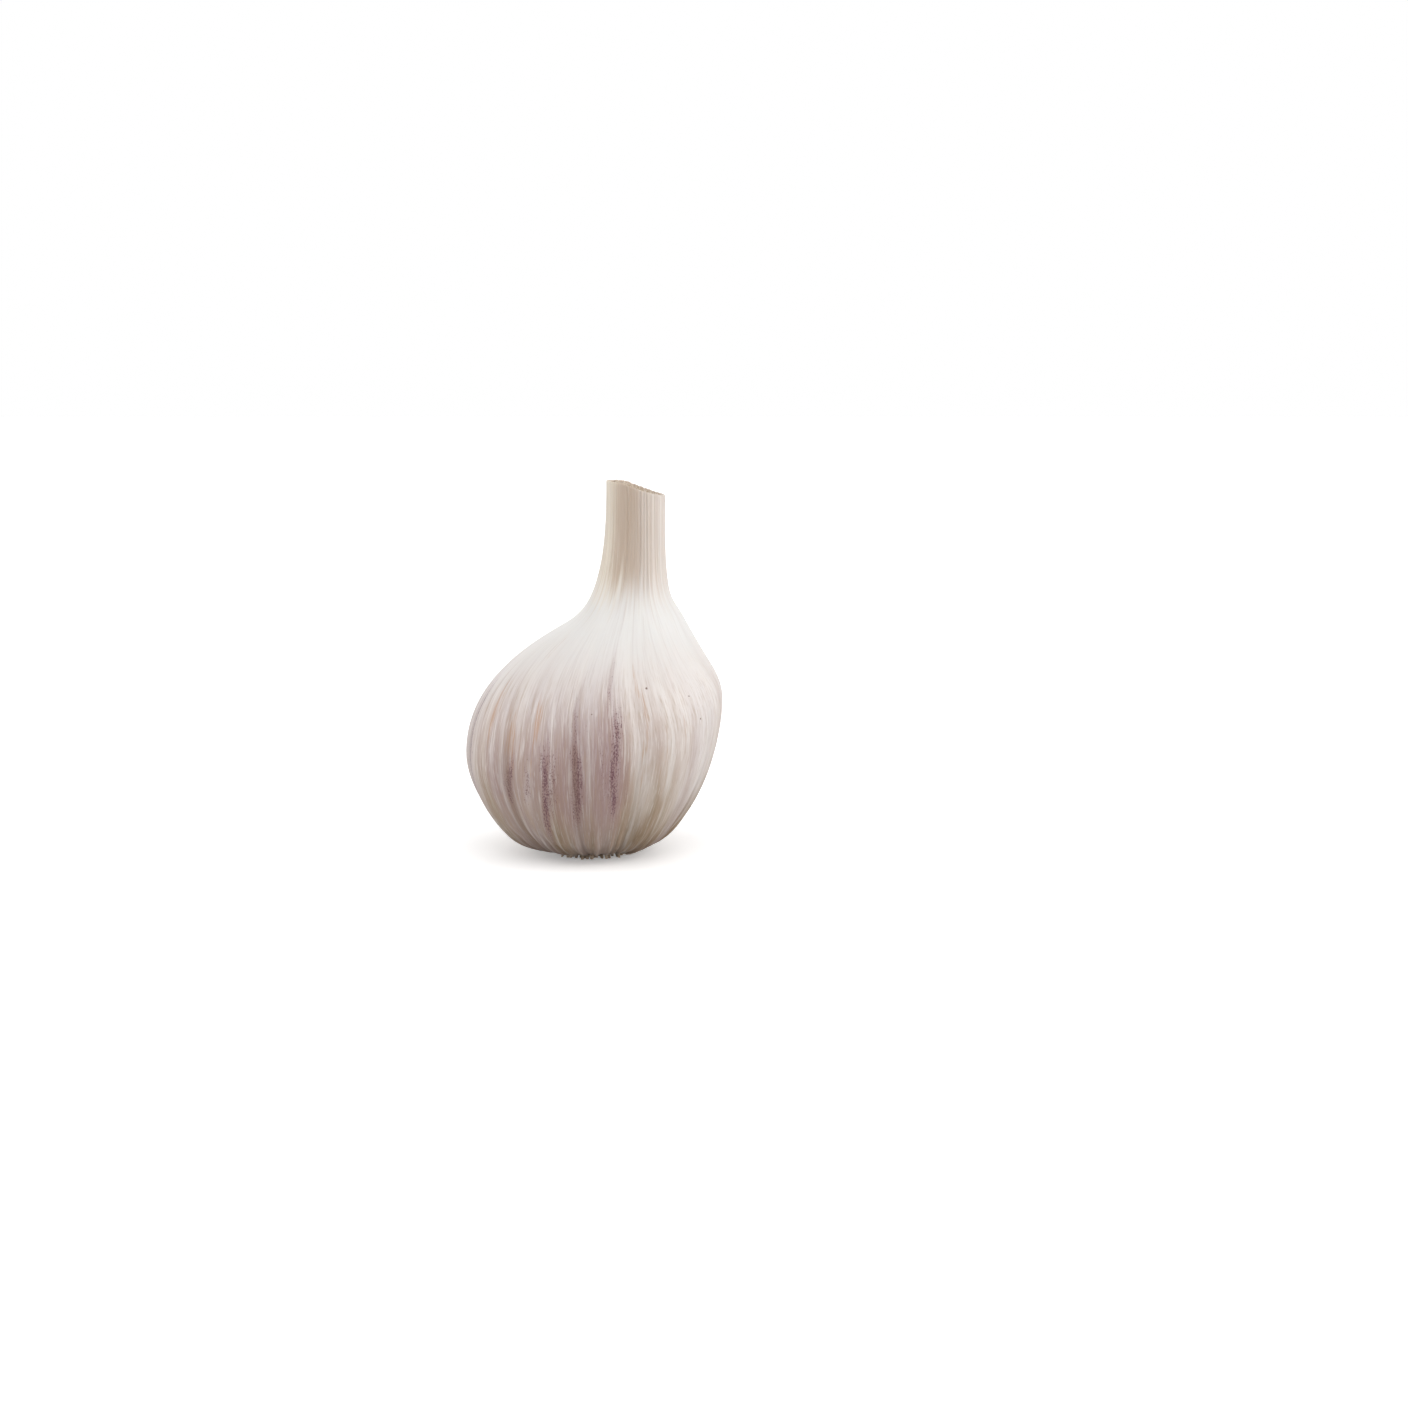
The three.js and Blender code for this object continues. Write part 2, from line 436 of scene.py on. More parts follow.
# A closed form of rings round the upright axis, as a mesh, with the ring and segment that each vertex is on.
def spinRings(name, ringCount, segments):
    ringStep = 0.001
    mesh = bmesh.new()
    outline = []
    for ring in range(ringCount):
        radius = 0 if ring in (0, ringCount - 1) else 0.01
        outline.append(mesh.verts.new((0, -radius, ring * ringStep)))
    for lower, upper in zip(outline, outline[1:]):
        mesh.edges.new((lower, upper))
    bmesh.ops.spin(mesh, geom=mesh.verts[:] + mesh.edges[:], cent=(0, 0, 0), axis=(0, 0, 1),
                   angle=math.tau, steps=segments, use_merge=True)
    bmesh.ops.remove_doubles(mesh, verts=mesh.verts[:], dist=1e-6)
    bmesh.ops.recalc_face_normals(mesh, faces=mesh.faces[:])
    data = bpy.data.meshes.new(name)
    mesh.to_mesh(data)
    mesh.free()
    spun = np.zeros(len(data.vertices) * 3)
    data.vertices.foreach_get("co", spun)
    spun = spun.reshape(-1, 3)
    ring = np.rint(spun[:, 2] / ringStep).astype(int)
    turn = np.degrees(np.arctan2(spun[:, 0], -spun[:, 1]))
    return data, ring, np.rint(turn * segments / 360).astype(int) % segments


# The places of the skin's rings and segments, with its relief pressed into them.
def skinPlaces(place, level, bearing, shift):
    inUnderside, lipStart = len(skin["underside"]), len(place) - len(skin["lip"])
    relief = skinRelief(level, bearing, shift) + sheathRelief(level, bearing)
    relief[:inUnderside] = 0
    relief[lipStart:] = 0
    moved = pushAlongNormals(place, relief)
    # The lip and the recess inside it follow the ring at the cut.
    edge = moved[lipStart - 1] - place[lipStart - 1]
    inset = 1 - np.array([inwards for inwards, upwards in skin["lip"]]) / bulb["neckRadius"]
    moved[lipStart:] += edge[None] * inset[:, None, None]
    # The cut isn't quite flat, and its effect fades down the neck.
    across = (place[..., 0] - bulb["neckOffset"]) / bulb["neckRadius"]
    fadeStart, fadeEnd = skin["cutFade"]
    reach = smoothStep(level, bulb["height"] - fadeStart, bulb["height"] - fadeEnd)
    moved[..., 2] += cutShape(across, bearing[None, :]) * reach
    return moved


# Where each kind of mark and colour lies on the skin, from 0 to 1. rise is the height as a share of the
# bulb's.
def skinMasks(level, bearing, drifted, insideLip):
    # Painted shade: the creases between the cloves are darkened low on the bulb, less so round one bearing.
    creaseShade = (1 - cloveSwell(drifted)) ** 3 * smoothStep(level, *skin["creaseShadeRise"])
    creaseShade = creaseShade * (1 - smoothStep(level, *skin["creaseShadeFade"]))
    shadeFree = skin["shadeFree"] * smoothStep(np.cos(np.radians(drifted - skin["shadeFreeBearing"])), 0.4, 0.9)
    cream = smoothStep(np.cos(np.radians(bearing - skin["creamBearing"])), 0.0, 0.8)
    return {
        "purple": markMask(level, drifted, streaks, 100),
        "wash": markMask(level, drifted, washes, 200),
        "ochre": markMask(level, drifted, ochres, 300),
        "pale": markMask(level, drifted, pales, 400),
        "rise": level / bulb["height"],
        "tanNeck": neckTan(level, bearing),
        "creamNeck": cream,
        "crease": creaseShade * (1 - shadeFree),
        "inside": insideLip.astype(float),
    }


# The skin's piece, and the heights of its rings with how far along the outline they lie.
def makeSkin():
    place, level, bearing, along, shift = skinGrid()
    ringCount, inUnderside = len(place), len(skin["underside"])
    lipStart = ringCount - len(skin["lip"])
    moved = skinPlaces(place, level, bearing, shift)
    data, ring, segment = spinRings("bulb_skin", ringCount, skin["segments"])
    final = moved[ring, segment] * (scaleOut, scaleOut, scaleUp)
    final[ring == 0, :2] = 0
    data.vertices.foreach_set("co", final.ravel())
    data.update()

    bearingAt, levelAt = bearing[segment], level[ring, segment]
    drifted = leafLine(bearingAt, levelAt, shift[ring])
    turn = np.radians(drifted)
    fibres = skin["fibresPerRadian"]
    grain = np.stack((fibres * np.cos(turn), fibres * np.sin(turn), along[ring]), axis=1)
    data.attributes.new("grain", "FLOAT_VECTOR", "POINT").data.foreach_set("vector", grain.ravel())
    for name, values in skinMasks(levelAt, bearingAt, drifted, ring >= lipStart + 2).items():
        data.attributes.new(name, "FLOAT", "POINT").data.foreach_set("value", values)
    data.polygons.foreach_set("use_smooth", [True] * len(data.polygons))
    piece = bpy.data.objects.new("bulb_skin", data)
    bpy.context.scene.collection.objects.link(piece)
    print("skin made:", len(data.polygons), "faces")
    outside = slice(inUnderside, lipStart)
    return piece, (level[outside, 0], along[outside])


# Tan strips on the neck, where the inner leaf bases show between the outer sheaths.
neckTans = {
    "strips": (  # bearing, half the width and strength
        (-16, 29, 1.0), (26, 12, 0.35), (44, 6, 0.25), (218, 22, 0.9), (150, 14, 0.4), (96, 12, 0.3),
        (285, 14, 0.3),
    ),
    "softest": 24,  # the most degrees over which a strip fades to either side of its edge
    "wander": 1.5,
    "rise": (48, 59), "ragged": 1.8,
}


def neckTan(level, bearing):
    ragged = neckTans["ragged"] * ripple(62, 9, (6, 34), 0, bearing, 0)
    high = smoothStep(level + ragged, *neckTans["rise"])
    wandering = bearing + neckTans["wander"] * ripple(61, 4, (1, 4), 0.04, bearing, level)
    mask = np.zeros(level.shape)
    for centre, width, strength in neckTans["strips"]:
        away = np.abs(turnFrom(wandering, centre))
        soft = min(neckTans["softest"], width)
        mask = np.maximum(mask, strength * (1 - smoothStep(away, width - soft, width + soft)))
    return mask * high


# The rest of the way round, the marks fall at random, about as close together as at the front.
seeded = {
    "from": 72, "to": 282, "seed": 5,
    "kinds": (  # ranges of the gap to the next one, the foot, the length, the width and the strength
        (streaks, (5, 15), (4, 12), (10, 27), (1.3, 3.2), (0.25, 0.95)),
        (washes, (13, 30), (3, 9), (18, 32), (7, 14), (0.4, 0.8)),
        (ochres, (7, 20), (10, 24), (10, 18), (1.2, 2.2), (0.4, 1.0)),
        (pales, (9, 22), (8, 20), (14, 26), (1.8, 4.5), (0.35, 0.8)),
    ),
}


def seedMarks():
    rng = np.random.default_rng(seeded["seed"])
    for marks, gap, foot, height, width, strength in seeded["kinds"]:
        at = seeded["from"]
        while at < seeded["to"]:
            at += rng.uniform(*gap)
            low = rng.uniform(*foot)
            marks.append((at, low, low + rng.uniform(*height), rng.uniform(*width), rng.uniform(*strength)))


# The skin's colour, by its height as a share of the bulb's. It darkens towards the bottom: partly the skin's
# own beige tone, partly painted shade on the lower body.
skinToneAndPaintedShade = (
    (0.03, tint(128, 106, 80)), (0.15, tint(151, 130, 106)), (0.26, tint(169, 148, 133)),
    (0.34, tint(186, 167, 157)), (0.4, tint(202, 188, 181)), (0.465, tint(213, 204, 199)),
    (0.53, tint(219, 213, 209)), (0.62, tint(224, 222, 219)),
)
skinColours = {
    "pale": tint(231, 226, 222), "beige": tint(172, 149, 129), "greyLilac": tint(174, 157, 161),
    "ochre": tint(190, 142, 100), "mauve": tint(141, 104, 108), "plum": tint(88, 44, 56),
    "neckCream": tint(226, 216, 199), "neckPink": tint(215, 204, 196), "tan": tint(187, 167, 149),
    "shadow": tint(132, 108, 92), "speck": tint(104, 70, 56),
}
# Grains of the skin: how close they lie across the leaf lines and along them, their detail and roughness.
skinGrains = {
    "bands": (0.14, 0.012, 2, 0.5), "strips": (0.62, 0.022, 2, 0.55), "strands": (0.62, 0.03, 3, 0.6),
    "patches": (0.2, 0.12, 3, 0.55), "fibres": (2.0, 0.09, 3, 0.62), "fine": (3.6, 0.24, 2, 0.65),
    "dots": (4.2, 2.3, 2, 0.6), "dashes": (2.6, 0.25, 2, 0.6),
}
# Layers of colour: where each sets in on its grain or mask, where it is full, how much goes on, and which
# colour.
skinLayers = {
    "lilacBands": (0.46, 0.68, 0.48, "greyLilac"),
    "beigeStrips": (0.5, 0.72, 0.3, "beige"),
    "paleStrips": (0.5, 0.3, 0.34, "pale"),
    "paleMarks": (0.1, 0.9, 0.6, "pale"),
    "beigeFibres": (0.5, 0.7, 0.42, "beige"),
    "paleFibres": (0.48, 0.3, 0.42, "pale"),
    "beigeFine": (0.52, 0.7, 0.46, "beige"),
    "paleFine": (0.47, 0.3, 0.46, "pale"),
    "ochreFibres": (0.45, 1.25, 0.52, "ochre"),
    "streakGround": (0.1, 1.1, 0.56, "mauve"),
    "streakDots": (0.46, 0.98, 0.8, "plum"),
    "neckStrands": (0.44, 0.74, 0.26, "tan"),
    "neckTan": (-0.2, 1.1, 0.95, "tan"),
    "neckFibres": (0.5, 0.3, 0.22, "pale"),
    # painted shade at the foot of the bulb, by the root plate
    "hemShade": (0.07, 0.02, 0.5, "shadow"),
}


# How much of its colour each of the other masks puts on.
skinAmounts = {"washes": 0.52, "neckSides": 0.9, "creases": 0.58, "inside": 0.7, "specks": 0.85}
# Shares of the height between which a part of the skin sets in or fades, and how strong it is at either end.
skinZones = {"belly": (0.4, 0.58, 1, 0.12), "neck": (0.64, 0.78, 0, 1), "lightFibres": (0.1, 0.42, 0.45, 1)}
skinBump = {"depth": 0.0002, "strength": 0.55, "fibres": 0.5, "fine": 0.35, "strips": 0.6, "neck": 0.4}


# Puts a layer over the colour so far, where its grain shows it. The last mask, if there is one, limits it.
def layOver(finish, colour, layer, grain, where=None):
    start, full, amount, shade = skinLayers[layer]
    shown = finish.fade(grain, start, full) * amount
    if where:
        shown = shown * where
    return finish.mix(shown, colour, skinColours[shade])


# Belly: bands, strips, washes and fibres over the skin's tone with its painted shade. They hardly show on the
# smooth throat.
def bellyColour(finish, grains, masks):
    uneven = finish.broken(masks.rise, (grains.bands, 0.08), (grains.patches, 0.1))
    uneven = finish.broken(uneven, (grains.strips, masks.belly * 0.08))
    # the ramp darkens towards the root plate: partly the skin's tone, partly painted shade
    colour = finish.ramp(uneven, skinToneAndPaintedShade)
    colour = layOver(finish, colour, "lilacBands", grains.bands, masks.belly)
    colour = layOver(finish, colour, "beigeStrips", grains.strips, masks.belly)
    colour = layOver(finish, colour, "paleStrips", grains.strips, masks.belly)
    # Mauve washes, with the fibres and strips showing through them.
    ragged = finish.broken(masks.wash, (grains.fibres, 0.9), (grains.strips, 1.1), (grains.patches, 0.6))
    washed = finish.fade(ragged, 0.0, 1.3)
    colour = finish.mix(washed * skinAmounts["washes"], colour, skinColours["mauve"])
    colour = layOver(finish, colour, "paleMarks", finish.broken(masks.pale, (grains.fibres, 0.8)))
    # Fine fibres, darker and lighter. The light ones are fainter low down and in the washes.
    lit = finish.fade(masks.rise, *skinZones["lightFibres"]) * masks.belly * (1 - washed * 0.5)
    colour = layOver(finish, colour, "beigeFibres", grains.fibres, masks.belly)
    colour = layOver(finish, colour, "paleFibres", grains.fibres, lit)
    colour = layOver(finish, colour, "beigeFine", grains.fine, masks.belly)
    colour = layOver(finish, colour, "paleFine", grains.fine, lit)
    ochre = finish.broken(masks.ochre, (grains.fibres, 2.2), (grains.fine, 1.6))
    return layOver(finish, colour, "ochreFibres", ochre)


# Purple streaks: a soft mauve ground, and dark dots that run together along its middle.
def streakColour(finish, colour, grains, masks):
    ground = finish.broken(masks.purple, (grains.fibres, 0.7), (grains.dashes, 0.8))
    colour = layOver(finish, colour, "streakGround", ground)
    dotted = finish.broken(masks.purple * 0.75 + masks.wash * 0.08, (grains.dots, 2.0), (grains.dashes, 0.8))
    return layOver(finish, colour, "streakDots", dotted)


# Neck: cream at the full side, pinkish at the steep one, and tan where the inner leaf bases show.
def neckColour(finish, colour, grains, masks):
    neckSide = finish.mix(masks.creamNeck, skinColours["neckPink"], skinColours["neckCream"])
    colour = finish.mix(masks.neck * skinAmounts["neckSides"], colour, neckSide)
    colour = layOver(finish, colour, "neckStrands", grains.strands, masks.neck)
    tan = finish.broken(masks.tanNeck, (grains.strands, 0.45))
    colour = layOver(finish, colour, "neckTan", tan, masks.neck)
    return layOver(finish, colour, "neckFibres", grains.fibres, masks.neck)


# Painted shade darkens the creases and the hem by the root plate, and brown specks are scattered about.
def paintedShadeAndSpecks(finish, colour, grain, grains, masks, ringHeights):
    # painted shade in the creases, in the shadow colour
    colour = finish.mix(masks.crease * skinAmounts["creases"], colour, skinColours["shadow"])
    # painted shade at the hem, low on the bulb by the root plate
    colour = layOver(finish, colour, "hemShade", masks.rise)
    colour = finish.mix(masks.inside * skinAmounts["inside"], colour, skinColours["tan"])
    fibres = skin["fibresPerRadian"]
    for bearing, height, size in specks:
        turn, along = math.radians(bearing), float(np.interp(height, *ringHeights))
        spot = (fibres * math.cos(turn), fibres * math.sin(turn), along)
        away = finish.add("ShaderNodeVectorMath", {"operation": "DISTANCE"}, {0: grain, 1: spot}, "Value")
        rim = finish.broken(away, (grains.fine, 0.5))
        spread = finish.fade(rim, size * 0.25, size * 0.75, skinAmounts["specks"], 0)
        colour = finish.mix(spread, colour, skinColours["speck"])
    return colour


def skinFinish(ringHeights):
    finish = Finish("dried_garlic_skin")
    grain = finish.attribute("grain", "Vector")
    names = ("rise", "purple", "wash", "ochre", "pale", "tanNeck", "creamNeck", "crease", "inside")
    masks = SimpleNamespace(**{name: finish.attribute(name) for name in names})
    grains = SimpleNamespace(**{
        name: finish.noise(finish.stretch(grain, across, along), 1, detail, roughness)
        for name, (across, along, detail, roughness) in skinGrains.items()
    })
    masks.belly = finish.fade(masks.rise, *skinZones["belly"])
    masks.neck = finish.fade(finish.broken(masks.rise, (grains.strands, 0.15)), *skinZones["neck"])
    colour = bellyColour(finish, grains, masks)
    colour = streakColour(finish, colour, grains, masks)
    colour = neckColour(finish, colour, grains, masks)
    colour = paintedShadeAndSpecks(finish, colour, grain, grains, masks, ringHeights)
    roughness = finish.broken(0.46, (grains.fibres, 0.22), (grains.patches, 0.12))
    ridges = grains.fibres * skinBump["fibres"] + grains.fine * skinBump["fine"]
    ridges = (ridges + grains.strips * skinBump["strips"]) * masks.belly
    ridges = ridges + grains.strands * masks.neck * skinBump["neck"]
    normal = finish.bump(ridges, skinBump["depth"], skinBump["strength"])
    return finish.shade({
        "Base Color": colour, "Roughness": roughness, "Normal": normal,
        "Subsurface Weight": 0.12, "Subsurface Radius": (1.0, 0.7, 0.5), "Subsurface Scale": 0.0015,
        "Specular IOR Level": 0.42, "Sheen Weight": 0.25, "Sheen Roughness": 0.35,
    })


seedMarks()
bulbSkin, ringHeights = makeSkin()
bulbSkin.data.materials.append(skinFinish(ringHeights))
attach(bulbSkin, "root")
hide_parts("garlic_bulb")


# The surface of the neck's cut: how high it is above a place across the neck.
def cutHeight(out, bearing):
    across = (out - bulb["neckOffset"]) / bulb["neckRadius"]
    return bulb["height"] - bulb["cutDrop"] / 2 * (1 + across) + cutShape(across, bearing)


# Places rows of millimetres into a bmesh's vertices, in the frame's metres.
def placeVerts(mesh, places):
    for vert, place in zip(mesh.verts, places):
        vert.co = (place[0] * scaleOut, place[1] * scaleOut, place[2] * scaleUp)


def finishPiece(name, mesh, material, smooth=True):
    data = bpy.data.meshes.new(name)
    mesh.to_mesh(data)
    mesh.free()
    data.polygons.foreach_set("use_smooth", [smooth] * len(data.polygons))
    piece = bpy.data.objects.new(name, data)
    bpy.context.scene.collection.objects.link(piece)
    data.materials.append(material)
    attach(piece, "root")
    print(name, "made:", len(data.polygons), "faces")
    return piece


# Neck layers: the leaf sheaths inside the neck, seen end-on at the cut, round a dried stalk.
neckLayers = {
    "segments": 120, "foot": 3.2, "rows": 4,
    # radius, wall, how far below the cut the rim ends
    "sheaths": ((5.0, 0.2, 0.25), (4.35, 0.16, 0.6), (3.75, 0.22, 0.3), (3.1, 0.16, 0.75), (2.6, 0.2, 0.45)),
    "stalk": (  # distance outwards, and height from the cut
        (0, -0.75), (0.45, -0.7), (0.8, -0.4), (1.2, -0.3), (1.75, -0.35), (2.1, -0.55), (2.15, -2.2),
        (0, -2.2),
    ),
    "wave": 0.13, "ragged": 0.16,
    "stalkSegments": 64, "stalkSwell": 0.05, "stalkRough": 0.06,
}


def makeNeckLayers(material):
    mesh = bmesh.new()
    for number, (radius, wall, drop) in enumerate(neckLayers["sheaths"]):
        layer = bmesh.new()
        ring = bmesh.ops.create_circle(layer, segments=neckLayers["segments"], radius=radius)["verts"]
        edges = layer.edges[:]
        for _ in range(neckLayers["rows"]):
            raised = bmesh.ops.extrude_edge_only(layer, edges=edges)["geom"]
            ring = [part for part in raised if isinstance(part, bmesh.types.BMVert)]
            edges = [part for part in raised if isinstance(part, bmesh.types.BMEdge)
                     and all(vert in ring for vert in part.verts)]
            bmesh.ops.translate(layer, verts=ring, vec=(0, 0, 1 / neckLayers["rows"]))
        bmesh.ops.recalc_face_normals(layer, faces=layer.faces[:])
        bmesh.ops.solidify(layer, geom=layer.faces[:], thickness=wall)
        bmesh.ops.recalc_face_normals(layer, faces=layer.faces[:])
        spots = np.array([vert.co for vert in layer.verts])
        bearing = np.degrees(np.arctan2(spots[:, 0], -spots[:, 1]))
        wave = 1 + neckLayers["wave"] * ripple(80 + number, 5, (2, 9), 0, bearing, 0) / radius
        out, front = spots[:, 0] * wave + bulb["neckOffset"], spots[:, 1] * wave
        ragged = neckLayers["ragged"] * ripple(90 + number, 8, (6, 46), 0, bearing, 0)
        top = cutHeight(out, bearing) - drop + ragged
        foot = bulb["height"] - neckLayers["foot"]
        placeVerts(layer, np.stack((out, front, foot + (top - foot) * spots[:, 2]), axis=1))
        part = bpy.data.meshes.new("layer")
        layer.to_mesh(part)
        layer.free()
        mesh.from_mesh(part)
        bpy.data.meshes.remove(part)
    return finishPiece("neck_layers", mesh, material)


# A closed turned form from an outline that starts and ends on the axis, in millimetres.
def turnedForm(outline, segments):
    mesh = bmesh.new()
    verts = [mesh.verts.new((0, -out, up)) for out, up in outline]
    for lower, upper in zip(verts, verts[1:]):
        mesh.edges.new((lower, upper))
    bmesh.ops.spin(mesh, geom=mesh.verts[:] + mesh.edges[:], cent=(0, 0, 0), axis=(0, 0, 1),
                   angle=math.tau, steps=segments, use_merge=True)
    bmesh.ops.remove_doubles(mesh, verts=mesh.verts[:], dist=1e-5)
    bmesh.ops.recalc_face_normals(mesh, faces=mesh.faces[:])
    return mesh


def makeNeckStalk(material):
    mesh = turnedForm(neckLayers["stalk"], neckLayers["stalkSegments"])
    spots = np.array([vert.co for vert in mesh.verts])
    bearing = np.degrees(np.arctan2(spots[:, 0], -spots[:, 1]))
    radius = np.hypot(spots[:, 0], spots[:, 1])
    swell = 1 + neckLayers["stalkSwell"] * ripple(95, 6, (3, 14), 0, bearing, 0)
    rough = neckLayers["stalkRough"] * ripple(96, 6, (3, 16), 0, bearing, 0)
    out = spots[:, 0] * swell + bulb["neckOffset"]
    up = cutHeight(out, bearing) + spots[:, 2] + rough * (radius > 0.1)
    placeVerts(mesh, np.stack((out, spots[:, 1] * swell, up), axis=1))
    return finishPiece("neck_stalk", mesh, material)


# Torn tips: shreds of dried leaf that stand up from the cut's rim.
tornTips = {
    "tips": (  # bearing, height, width and lean
        (22, 0.5, 0.5, 20), (34, 0.35, 0.3, 5), (43, 0.75, 0.4, 28), (52, 0.4, 0.6, 12), (61, 0.6, 0.35, 35),
        (70, 0.45, 0.5, 15), (80, 0.7, 0.3, 30), (-30, 0.3, 0.5, 8), (-75, 0.35, 0.4, 12),
        (118, 0.5, 0.45, 20), (160, 0.4, 0.5, 10), (205, 0.6, 0.4, 25), (250, 0.35, 0.5, 10),
    ),
    "thickness": 0.09, "rooted": 0.5, "fromOutside": 0.22, "point": 0.03,
}


def makeTornTips(material):
    mesh = bmesh.new()
    for bearing, height, width, lean in tornTips["tips"]:
        turn = math.radians(bearing)
        radius = bulb["neckRadius"] - tornTips["fromOutside"]
        out = bulb["neckOffset"] + radius * math.sin(turn)
        front = -bulb["depthShare"] * radius * math.cos(turn)
        foot = float(cutHeight(np.array(out), np.array(float(bearing)))) - tornTips["rooted"]
        length = height + tornTips["rooted"]
        place = (Matrix.Translation((out, front, foot)) @ Matrix.Rotation(turn, 4, "Z")
                 @ Matrix.Rotation(math.radians(lean), 4, "X") @ Matrix.Translation((0, 0, length / 2))
                 @ Matrix.Diagonal((1, tornTips["thickness"] / width, 1, 1)))
        bmesh.ops.create_cone(mesh, cap_ends=True, segments=8, radius1=width / 2, radius2=tornTips["point"],
                              depth=length, matrix=place)
    bmesh.ops.scale(mesh, vec=(scaleOut, scaleOut, scaleUp), verts=mesh.verts[:])
    return finishPiece("torn_tips", mesh, material, smooth=False)


# Root plate: a corky disc under the bulb, with its roots trimmed to short stubs.
roots = {
    "plate": ((0, 0.9), (2.4, 0.7), (5.6, 0.95), (7.6, 1.2), (8.5, 1.65), (8.3, 2.3), (0, 2.9)),
    "plateSegments": 96, "plateRoughness": 0.14,
    "stubs": 150, "innerRadius": 2.2, "outerRadius": 7.7, "thickness": (0.34, 0.58), "taper": 0.72,
    "lean": 24, "leanSpread": 8, "turnSpread": 0.1, "length": 2.4, "middle": 1.5, "sunk": 0.5,
    "cut": (0, 0.45),
}


def makeRootPlate(material):
    mesh = turnedForm(roots["plate"], roots["plateSegments"])
    bmesh.ops.subdivide_edges(mesh, edges=mesh.edges[:], cuts=1, use_grid_fill=True)
    spots = np.array([vert.co for vert in mesh.verts])
    bearing = np.degrees(np.arctan2(spots[:, 0], -spots[:, 1]))
    radius = np.hypot(spots[:, 0], spots[:, 1])
    rough = roots["plateRoughness"] * ripple(110, 10, (4, 40), 0.2, bearing, radius)
    rough = rough * np.minimum(radius / 3, 1)
    spots[:, :2] *= (1 + rough / np.maximum(radius, 1))[:, None]
    spots[:, 2] += rough
    placeVerts(mesh, spots)
    return finishPiece("root_plate", mesh, material)


# The stubs fill a ring of the plate in a sunflower's spiral, leaning out more towards its edge.
def makeRootStubs(material):
    rng = np.random.default_rng(8)
    mesh = bmesh.new()
    golden = math.pi * (3 - math.sqrt(5))
    inner, outer = roots["innerRadius"], roots["outerRadius"]
    for number in range(roots["stubs"]):
        share = (number + 0.5) / roots["stubs"]
        radius = math.sqrt(inner ** 2 + share * (outer ** 2 - inner ** 2))
        turn = golden * number + rng.uniform(-roots["turnSpread"], roots["turnSpread"])
        thick = rng.uniform(*roots["thickness"])
        spread = rng.uniform(-roots["leanSpread"], roots["leanSpread"])
        lean = math.radians(roots["lean"] * radius / outer + spread)
        place = (Matrix.Translation((radius * math.sin(turn), -radius * math.cos(turn), roots["middle"]))
                 @ Matrix.Rotation(turn, 4, "Z") @ Matrix.Rotation(math.pi - lean, 4, "X")
                 @ Matrix.Translation((0, 0, roots["length"] / 2 - roots["sunk"])))
        made = bmesh.ops.create_cone(mesh, cap_ends=True, segments=7, radius1=thick,
                                     radius2=thick * roots["taper"], depth=roots["length"], matrix=place)
        trim = rng.uniform(*roots["cut"]) * rng.uniform(0, 1)
        for vert in made["verts"]:
            vert.co.z = max(vert.co.z, trim)
    bmesh.ops.scale(mesh, vec=(scaleOut, scaleOut, scaleUp), verts=mesh.verts[:])
    return finishPiece("root_stubs", mesh, material, smooth=False)


# Dry leaf and cork: two colours in a blotched grain, with each noise's scale, detail and roughness.
paper = {
    "grain": (1000, 4, 0.65), "blotches": (900, 3, 0.6), "blotching": 0.5,
    "darkens": (0.35, 0.68), "bump": (0.0002, 0.6), "roughness": 0.62,
}


# grainScale draws the grain out across, inwards and up.
def paperFinish(name, light, dark, grainScale):
    finish = Finish(name)
    place = finish.add("ShaderNodeTexCoord", None, None, "Object")
    streaked = finish.add("ShaderNodeVectorMath", {"operation": "MULTIPLY"}, {0: place, 1: grainScale})
    grain = finish.noise(streaked, *paper["grain"])
    blotches = finish.noise(place, *paper["blotches"])
    blotched = finish.broken(grain, (blotches, paper["blotching"]))
    colour = finish.mix(finish.fade(blotched, *paper["darkens"]), light, dark)
    roughness = finish.broken(paper["roughness"], (grain, 0.2))
    normal = finish.bump(grain, *paper["bump"])
    return finish.shade({"Base Color": colour, "Roughness": roughness, "Normal": normal,
                         "Specular IOR Level": 0.35})


layerFinish = paperFinish("cut_leaf_layers", tint(218, 206, 190), tint(176, 154, 130), (3, 3, 0.6))
stalkFinish = paperFinish("cut_stalk", tint(204, 187, 160), tint(146, 122, 96), (2.2, 2.2, 1))
shredFinish = paperFinish("torn_leaf", tint(226, 220, 210), tint(200, 184, 164), (3, 3, 0.5))
plateFinish = paperFinish("corky_root_plate", tint(162, 138, 116), tint(104, 86, 70), (1, 1, 1))
stubFinish = paperFinish("trimmed_roots", tint(208, 188, 166), tint(162, 138, 116), (1.2, 1.2, 1.2))
makeNeckLayers(layerFinish)
makeNeckStalk(stalkFinish)
makeTornTips(shredFinish)
makeRootPlate(plateFinish)
makeRootStubs(stubFinish)


# Stage: a pale floor and a white dome that the camera sees, a greyer floor that bounces light up, and soft
# lamps.
stage = {
    "floorSize": 6, "floorColour": (0.97, 0.97, 0.97, 1), "floorGlow": 0.28,
    "bounceColour": (0.72, 0.72, 0.72, 1), "bounceDrop": 0.0002,
    "domeRadius": 4, "domeGlow": 1.0, "sky": 0.5,
    "lamps": {  # strength, apparent angle and direction
        "key_light": (1.2, 75, (0.06, -0.45, 0.88)), "right_light": (1.4, 60, (0.95, -0.15, 0.25)),
        "left_light": (0.95, 60, (-0.95, -0.1, 0.3)), "back_light": (0.55, 60, (0, 0.97, 0.2)),
    },
}


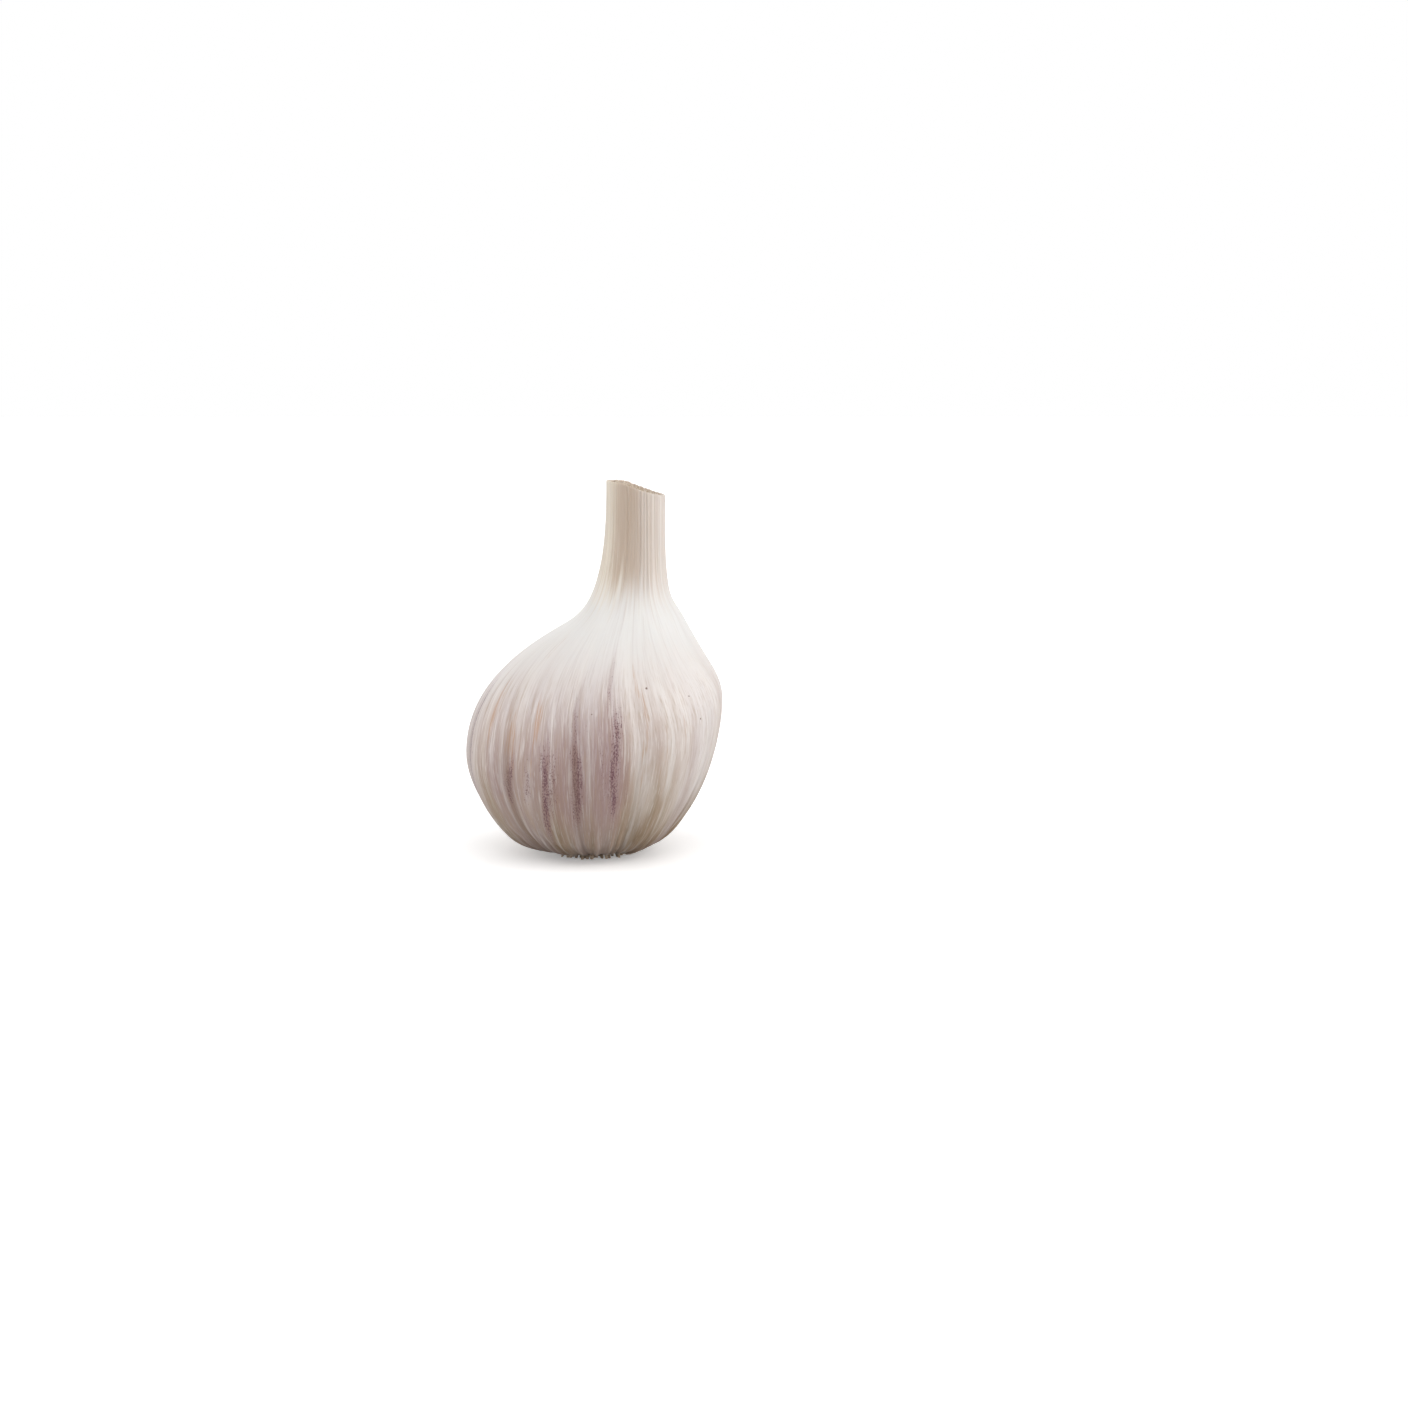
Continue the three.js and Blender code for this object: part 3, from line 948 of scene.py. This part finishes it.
# A stage piece is seen only by the kinds of rays that are named.
def stagePiece(name, mesh, material, seenBy):
    data = bpy.data.meshes.new(name)
    mesh.to_mesh(data)
    mesh.free()
    data.materials.append(material)
    piece = bpy.data.objects.new(name, data)
    bpy.context.scene.collection.objects.link(piece)
    for ray in ("camera", "diffuse", "glossy", "transmission", "shadow"):
        setattr(piece, "visible_" + ray, ray in seenBy)


def floorGrid(height):
    mesh = bmesh.new()
    bmesh.ops.create_grid(mesh, x_segments=1, y_segments=1, size=stage["floorSize"] / 2,
                          matrix=Matrix.Translation((0, 0, height)))
    return mesh


floorFinish = Finish("pale_floor").shade({
    "Base Color": stage["floorColour"], "Roughness": 0.9,
    "Emission Color": (1, 1, 1, 1), "Emission Strength": stage["floorGlow"],
})
stagePiece("floor", floorGrid(0), floorFinish, ("camera",))
bounceFinish = Finish("bounce_floor").shade({"Base Color": stage["bounceColour"], "Roughness": 0.9})
stagePiece("floor_bounce", floorGrid(-stage["bounceDrop"]), bounceFinish, ("diffuse", "glossy"))
domeMesh = bmesh.new()
bmesh.ops.create_icosphere(domeMesh, subdivisions=4, radius=stage["domeRadius"])
bmesh.ops.reverse_faces(domeMesh, faces=domeMesh.faces[:])
domeFinish = Finish("white_backdrop")
domeLight = domeFinish.add("ShaderNodeEmission", None, {"Color": (1, 1, 1, 1), "Strength": stage["domeGlow"]})
domeFinish.add("ShaderNodeOutputMaterial", None, {"Surface": domeLight})
stagePiece("dome", domeMesh, domeFinish.material, ("camera",))

world = bpy.data.worlds.new("studio")
bpy.context.scene.world = world
world.use_nodes = True
world.node_tree.nodes["Background"].inputs["Color"].default_value = (1, 1, 1, 1)
world.node_tree.nodes["Background"].inputs["Strength"].default_value = stage["sky"]

for name, (strength, angle, direction) in stage["lamps"].items():
    lamp = bpy.data.objects.new(name, bpy.data.lights.new(name, "SUN"))
    bpy.context.scene.collection.objects.link(lamp)
    lamp.data.energy = strength
    lamp.data.angle = math.radians(angle)
    lamp.rotation_euler = Vector(direction).to_track_quat("Z", "Y").to_euler()

bpy.context.scene.view_settings.view_transform = "Standard"
print("stage set")
